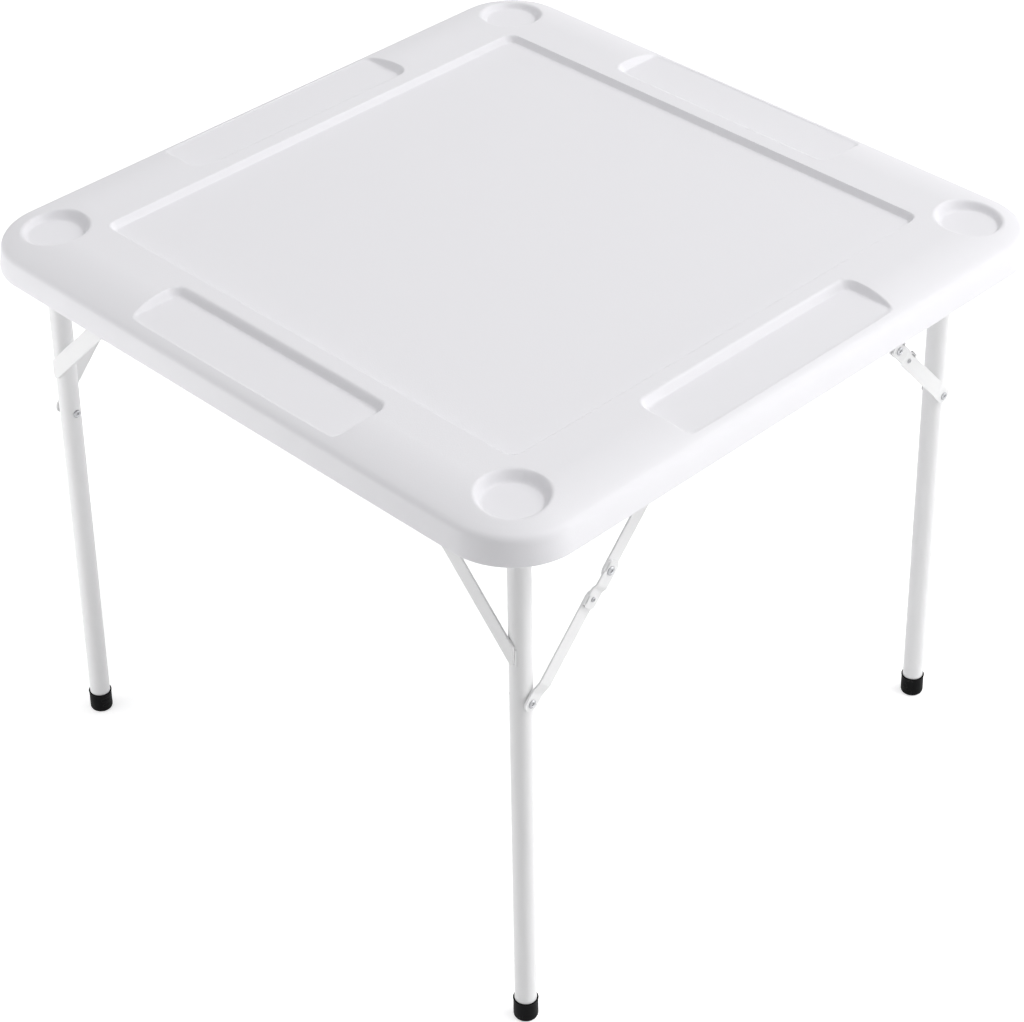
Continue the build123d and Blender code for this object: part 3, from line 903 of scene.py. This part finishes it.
def makeCamera():
    az, el, roll = (cameraView[key] for key in ("azimuth", "elevation", "roll"))
    back = Vector((math.sin(az) * math.cos(el), -math.cos(az) * math.cos(el), math.sin(el)))
    right = Vector((math.cos(az), math.sin(az), 0))
    up = back.cross(right)
    turnedRight = right * math.cos(roll) + up * math.sin(roll)
    turnedUp = up * math.cos(roll) - right * math.sin(roll)
    data = bpy.data.cameras.new("camera")
    data.sensor_width = cameraView["sensor"]
    data.lens = cameraView["lens"]
    camera = bpy.data.objects.new("camera", data)
    rotation = Matrix((turnedRight, turnedUp, back)).transposed()
    camera.matrix_world = Matrix.Translation(cameraView["location"]) @ rotation.to_4x4()
    bpy.context.scene.collection.objects.link(camera)
    bpy.context.scene.camera = camera


def emptyTree(owner):
    owner.use_nodes = True
    owner.node_tree.nodes.clear()
    return owner.node_tree


def addNode(tree, kind, inputs=None, **settings):
    # A node with its settings. Another node's output is linked to an input, and a value is written on it.
    node = tree.nodes.new(kind)
    for key, value in settings.items():
        setattr(node, key, value)
    for label, value in (inputs or {}).items():
        if isinstance(value, bpy.types.NodeSocket):
            tree.links.new(value, node.inputs[label])
        else:
            node.inputs[label].default_value = value
    return node


def mathNode(tree, operation, *values):
    return addNode(tree, "ShaderNodeMath", dict(enumerate(values)), operation=operation).outputs[0]


studio = {
    "lamps": {
        "highBack": {"azimuth": 60, "elevation": 46, "distance": 10.0, "size": (5.0, 5.0), "power": 297},
        "highRight": {"azimuth": 30, "elevation": 60, "distance": 10.0, "size": (5.0, 5.0), "power": 292},
        "lowRight": {"azimuth": 40, "elevation": 8, "distance": 6.0, "size": (4.0, 1.4), "power": 64},
        "leftFill": {"azimuth": -150, "elevation": 35, "distance": 8.0, "size": (5.0, 5.0), "power": 63},
        "lowFront": {"azimuth": -120, "elevation": 10, "distance": 1.7, "size": (1.0, 0.5), "power": 7},
        "nearRight": {"azimuth": 5, "elevation": 10, "distance": 1.7, "size": (1.0, 0.5), "power": 2.3},
    },
    "ambient": 0.405,
    "white": (1, 1, 1, 1),
    "floorSize": 60.0,
    "floorColour": (0.8, 0.8, 0.8, 1),
    "floorLift": 0.55,
    "farLift": 0.68,
    "liftReach": (4.0, 12.0),
}


def makeLamp(name, settings):
    # A soft box that looks at the middle of the floor from its azimuth and elevation.
    az = math.radians(settings["azimuth"])
    el = math.radians(settings["elevation"])
    out = Vector((math.cos(az) * math.cos(el), math.sin(az) * math.cos(el), math.sin(el)))
    data = bpy.data.lights.new(name, "AREA")
    data.shape = "RECTANGLE"
    data.size, data.size_y = settings["size"]
    data.energy = settings["power"]
    lamp = bpy.data.objects.new(name, data)
    lamp.location = out * settings["distance"]
    lamp.rotation_mode = "QUATERNION"
    lamp.rotation_quaternion = out.to_track_quat("Z", "Y")
    lamp.visible_camera = False
    bpy.context.scene.collection.objects.link(lamp)


def seenDirectly(tree):
    # One where the camera, a mirror or a clear body looks straight at it.
    path = addNode(tree, "ShaderNodeLightPath").outputs
    first = mathNode(tree, "MAXIMUM", path["Is Camera Ray"], path["Is Glossy Ray"])
    return mathNode(tree, "MAXIMUM", first, path["Is Transmission Ray"])


def makeWorld():
    # Even light on the table, and plain white where the world itself is seen.
    world = bpy.data.worlds.new("studioWorld")
    tree = emptyTree(world)
    even = {"Color": studio["white"], "Strength": studio["ambient"]}
    ambient = addNode(tree, "ShaderNodeBackground", even).outputs[0]
    white = addNode(tree, "ShaderNodeBackground", {"Color": studio["white"]}).outputs[0]
    mix = addNode(tree, "ShaderNodeMixShader", {0: seenDirectly(tree), 1: ambient, 2: white})
    addNode(tree, "ShaderNodeOutputWorld", {"Surface": mix.outputs[0]})
    bpy.context.scene.world = world


def makeFloor():
    # A matt floor, lifted to white where it is looked at, that keeps the table's soft shadow. Far
    # from the table, where the lamps don't reach, the lift is larger, so that no horizon shows.
    half = studio["floorSize"] / 2
    corners = [(-half, -half, 0), (half, -half, 0), (half, half, 0), (-half, half, 0)]
    mesh = bpy.data.meshes.new("floor")
    mesh.from_pydata(corners, [], [(0, 1, 2, 3)])
    floor = bpy.data.objects.new("floor", mesh)
    bpy.context.scene.collection.objects.link(floor)
    material = bpy.data.materials.new("floorPaper")
    tree = emptyTree(material)
    matt = addNode(tree, "ShaderNodeBsdfDiffuse", {"Color": studio["floorColour"]})
    place = addNode(tree, "ShaderNodeTexCoord").outputs["Object"]
    away = addNode(tree, "ShaderNodeVectorMath", {0: place}, operation="LENGTH")
    nearest, farthest = studio["liftReach"]
    byReach = addNode(tree, "ShaderNodeMapRange", {
        "Value": away.outputs["Value"], "From Min": nearest, "From Max": farthest,
        "To Min": studio["floorLift"], "To Max": studio["farLift"]})
    strength = mathNode(tree, "MULTIPLY", seenDirectly(tree), byReach.outputs["Result"])
    lift = addNode(tree, "ShaderNodeEmission", {"Strength": strength})
    both = addNode(tree, "ShaderNodeAddShader", {0: matt.outputs[0], 1: lift.outputs[0]})
    addNode(tree, "ShaderNodeOutputMaterial", {"Surface": both.outputs[0]})
    mesh.materials.append(material)


makeCamera()
for lampName, lampSettings in studio["lamps"].items():
    makeLamp(lampName, lampSettings)
makeWorld()
makeFloor()
bpy.context.scene.view_settings.view_transform = "Standard"
print("studio:", len(studio["lamps"]), "lamps, world and floor")


# Finishes: effects are node groups with named sockets, placed in each material with its own values.
def newGroup(name, inputs, outputs):
    # An input is a number, a place or a colour, as its value shows.
    group = bpy.data.node_groups.new(name, "ShaderNodeTree")
    for label, value in inputs.items():
        kind = {1: "NodeSocketFloat", 3: "NodeSocketVector", 4: "NodeSocketColor"}[np.size(value)]
        group.interface.new_socket(name=label, in_out="INPUT", socket_type=kind).default_value = value
    for label, kind in outputs.items():
        group.interface.new_socket(name=label, in_out="OUTPUT", socket_type=kind)
    return group, addNode(group, "NodeGroupInput").outputs


def noiseNode(tree, vector, scale, detail, roughness=0.5):
    inputs = {"Vector": vector, "Scale": scale, "Detail": detail, "Roughness": roughness}
    return addNode(tree, "ShaderNodeTexNoise", inputs).outputs[0]


def mixedColour(tree, share, first, second):
    mix = addNode(tree, "ShaderNodeMix", {"Factor": share, "A": first, "B": second}, data_type="RGBA")
    return next(socket for socket in mix.outputs if socket.type == "RGBA")


grainShape = {"flatBelow": 0.36, "flatAbove": 0.62, "finerRatio": 3.1, "detail": 1.0, "finerDetail": 2.0}


def makeGrain():
    # Height of a fine pebble: noise of the grain's size, its tops flattened, with finer noise on it.
    s = grainShape
    group, start = newGroup("pebbleGrain", {"Vector": (0, 0, 0), "Scale": 600.0, "Fine": 0.35},
                            {"Height": "NodeSocketFloat"})
    coarse = noiseNode(group, start["Vector"], start["Scale"], s["detail"])
    reach = {"Value": coarse, "From Min": s["flatBelow"], "From Max": s["flatAbove"]}
    flattened = addNode(group, "ShaderNodeMapRange", reach, interpolation_type="SMOOTHSTEP")
    finerScale = mathNode(group, "MULTIPLY", start["Scale"], s["finerRatio"])
    finer = noiseNode(group, start["Vector"], finerScale, s["finerDetail"])
    fine = mathNode(group, "MULTIPLY", finer, start["Fine"])
    addNode(group, "NodeGroupOutput", {"Height": mathNode(group, "ADD", flattened.outputs["Result"], fine)})
    return group


handlingShape = {
    "patchNoise": (4.0, 0.6),  # detail and roughness of the noise
    "smearNoise": (5.0, 0.65),
    "smearRatio": 9.0,
    "shares": (0.6, 0.4),
}


def makeHandling():
    # Broad patches and finer smears of slow noise move the colour and the roughness a little.
    s = handlingShape
    group, start = newGroup(
        "handling",
        {"Vector": (0, 0, 0), "Color": (0.8, 0.8, 0.8, 1), "Worn": (0.74, 0.74, 0.74, 1), "Patch Scale": 5.0,
         "Amount": 0.2, "Roughness": 0.5, "Roughness Spread": 0.1},
        {"Color": "NodeSocketColor", "Roughness": "NodeSocketFloat"})
    smearScale = mathNode(group, "MULTIPLY", start["Patch Scale"], s["smearRatio"])
    patches = noiseNode(group, start["Vector"], start["Patch Scale"], *s["patchNoise"])
    smears = noiseNode(group, start["Vector"], smearScale, *s["smearNoise"])
    patchShare, smearShare = s["shares"]
    blend = mathNode(group, "ADD", mathNode(group, "MULTIPLY", patches, patchShare),
                     mathNode(group, "MULTIPLY", smears, smearShare))
    worn = mathNode(group, "MULTIPLY", blend, start["Amount"])
    colour = mixedColour(group, worn, start["Color"], start["Worn"])
    eitherWay = mathNode(group, "SUBTRACT", blend, 0.5)
    swing = mathNode(group, "MULTIPLY", eitherWay, start["Roughness Spread"])
    roughness = mathNode(group, "ADD", start["Roughness"], swing)
    addNode(group, "NodeGroupOutput", {"Color": colour, "Roughness": roughness})
    return group


scratchShape = {"turn": (0.4, 0.3, 0.6), "stretch": (1, 0.06, 1), "detail": 2.0, "patchScale": 11.0}


def makeScratches():
    # Thin marks: noise stretched along one direction, with only its narrow middle band kept.
    s = scratchShape
    group, start = newGroup("scratches", {"Vector": (0, 0, 0), "Scale": 40.0, "Width": 0.004, "Cover": 0.55},
                            {"Mask": "NodeSocketFloat"})
    turned = addNode(group, "ShaderNodeMapping", {
        "Vector": start["Vector"], "Rotation": s["turn"], "Scale": s["stretch"]}).outputs["Vector"]
    streaks = noiseNode(group, turned, start["Scale"], s["detail"])
    away = mathNode(group, "ABSOLUTE", mathNode(group, "SUBTRACT", streaks, 0.5))
    thin = mathNode(group, "LESS_THAN", away, start["Width"])
    patches = noiseNode(group, start["Vector"], s["patchScale"], s["detail"])
    here = mathNode(group, "GREATER_THAN", patches, start["Cover"])
    addNode(group, "NodeGroupOutput", {"Mask": mathNode(group, "MULTIPLY", thin, here)})
    return group


grain = makeGrain()
handling = makeHandling()
scratches = makeScratches()

# The top: pale plastic with a fine pebble and faint broad patches.
mouldedPlastic = {
    "colour": (0.831, 0.8245, 0.853, 1),
    "worn": (0.785, 0.783, 0.811, 1),
    "patchScale": 4.0,
    "amount": 0.30,
    "roughness": 0.52,
    "roughnessSpread": 0.16,
    "grain": {"Scale": 620.0, "Fine": 0.35},
    "bump": {"Distance": 0.00005, "Strength": 0.45},
    "shader": {"IOR": 1.49},
}
# Tubes and strips: white powder coat with a slight orange peel.
powderPaint = {
    "colour": (0.82, 0.82, 0.825, 1),
    "worn": (0.74, 0.745, 0.75, 1),
    "patchScale": 9.0,
    "amount": 0.22,
    "roughness": 0.38,
    "roughnessSpread": 0.14,
    "grain": {"Scale": 340.0, "Fine": 0.12},
    "bump": {"Distance": 0.00006, "Strength": 0.22},
    "shader": {"IOR": 1.5},
}
# Feet and plugs: dull black plastic with pale scuffs.
footPlastic = {
    "colour": (0.003, 0.003, 0.0034, 1),
    "worn": (0.008, 0.008, 0.0085, 1),
    "scuff": (0.022, 0.022, 0.022, 1),
    "marks": {"Scale": 60.0, "Width": 0.006, "Cover": 0.5},
    "patchScale": 30.0,
    "amount": 0.5,
    "roughness": 0.5,
    "roughnessSpread": 0.25,
    "grain": {"Scale": 900.0, "Fine": 0.35},
    "bump": {"Distance": 0.00004, "Strength": 0.4},
    "shader": {"Specular IOR Level": 0.05},
}
# Rivets, screws, saddles and brackets: zinc plate, unevenly dulled.
platedSteel = {
    "colour": (0.44, 0.445, 0.46, 1),
    "worn": (0.30, 0.305, 0.32, 1),
    "patchScale": 45.0,
    "amount": 0.6,
    "roughness": 0.34,
    "roughnessSpread": 0.3,
    "grain": {"Scale": 500.0, "Fine": 0.5},
    "bump": {"Distance": 0.00003, "Strength": 0.25},
    "shader": {"Metallic": 1.0},
}


def makeFinish(name, s):
    # Handling moves the colour and roughness, scuffs lie over it where the finish has them, and the
    # grain is its bump.
    material = bpy.data.materials.new(name)
    tree = emptyTree(material)
    place = addNode(tree, "ShaderNodeTexCoord").outputs["Object"]

    def effect(group, inputs):
        return addNode(tree, "ShaderNodeGroup", {"Vector": place, **inputs}, node_tree=group).outputs

    wear = effect(handling, {
        "Color": s["colour"], "Worn": s["worn"], "Patch Scale": s["patchScale"], "Amount": s["amount"],
        "Roughness": s["roughness"], "Roughness Spread": s["roughnessSpread"]})
    colour = wear["Color"]
    if "scuff" in s:
        colour = mixedColour(tree, effect(scratches, s["marks"])["Mask"], colour, s["scuff"])
    pebble = effect(grain, s["grain"])
    bump = addNode(tree, "ShaderNodeBump", {"Height": pebble["Height"], **s["bump"]})
    shader = addNode(tree, "ShaderNodeBsdfPrincipled", {
        "Base Color": colour, "Roughness": wear["Roughness"], "Normal": bump.outputs["Normal"],
        **s["shader"]})
    addNode(tree, "ShaderNodeOutputMaterial", {"Surface": shader.outputs[0]})
    return material


finishes = {
    "moulded_white": makeFinish("mouldedPlastic", mouldedPlastic),
    "white_paint": makeFinish("powderPaint", powderPaint),
    "black_plastic": makeFinish("footPlastic", footPlastic),
    "zinc_steel": makeFinish("platedSteel", platedSteel),
}
slotOfNode = {part["node"]: part["material_slot"] for part in frame["record"]["subparts"]}
carriedOver = [(nodeObject, slotOfNode[nodeName]) for nodeName, nodeObject in frame["nodes"].items()]
for piece, slotName in carriedOver + newPieces:
    piece.data.materials.clear()
    piece.data.materials.append(finishes[slotName])
print("finishes:", len(finishes), "on", len(slotOfNode), "nodes")
